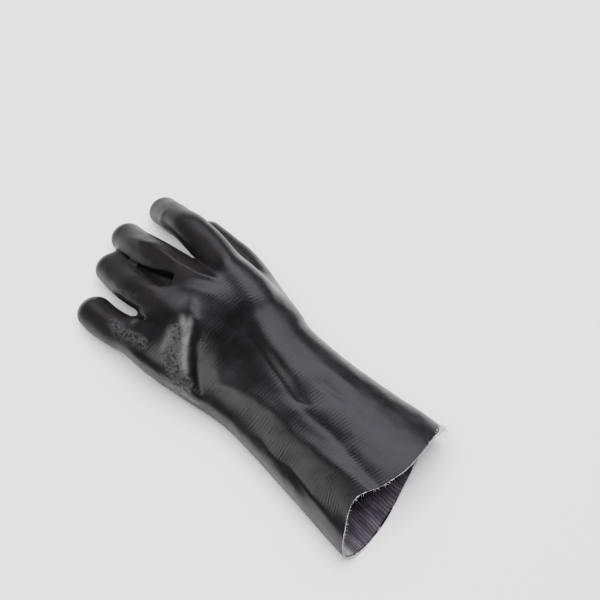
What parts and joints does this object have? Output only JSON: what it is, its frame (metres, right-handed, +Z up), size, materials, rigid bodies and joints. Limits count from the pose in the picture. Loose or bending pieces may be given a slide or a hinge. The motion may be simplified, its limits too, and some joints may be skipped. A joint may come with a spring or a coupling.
{
  "type": "pvc coated work glove",
  "caption": "Gauntlet work glove for the left hand, glossy vinyl coating over a knit lining, lying palm down with curled fingers and an open raw-cut cuff",
  "frame": {"origin": "middle of the glove's box, on the surface that it lies on", "axes": "+Y from the cuff to the fingertips, +X to the thumb side, +Z up out of the back of the hand"},
  "size_m": [0.1526, 0.353, 0.0589],
  "materials": {
    "coating": "black vinyl, satin to glossy, with the knit's fine ribs showing through",
    "lining": "dark purplish grey ribbed knit",
    "seam": "grey sewn seam of the lining"
  },
  "bodies": {
    "root": {"pvc_coating": "coating", "knit_lining": "lining", "lining_seam_thumb_side": "seam", "lining_seam_little_side": "seam"}
  },
  "joints": []
}
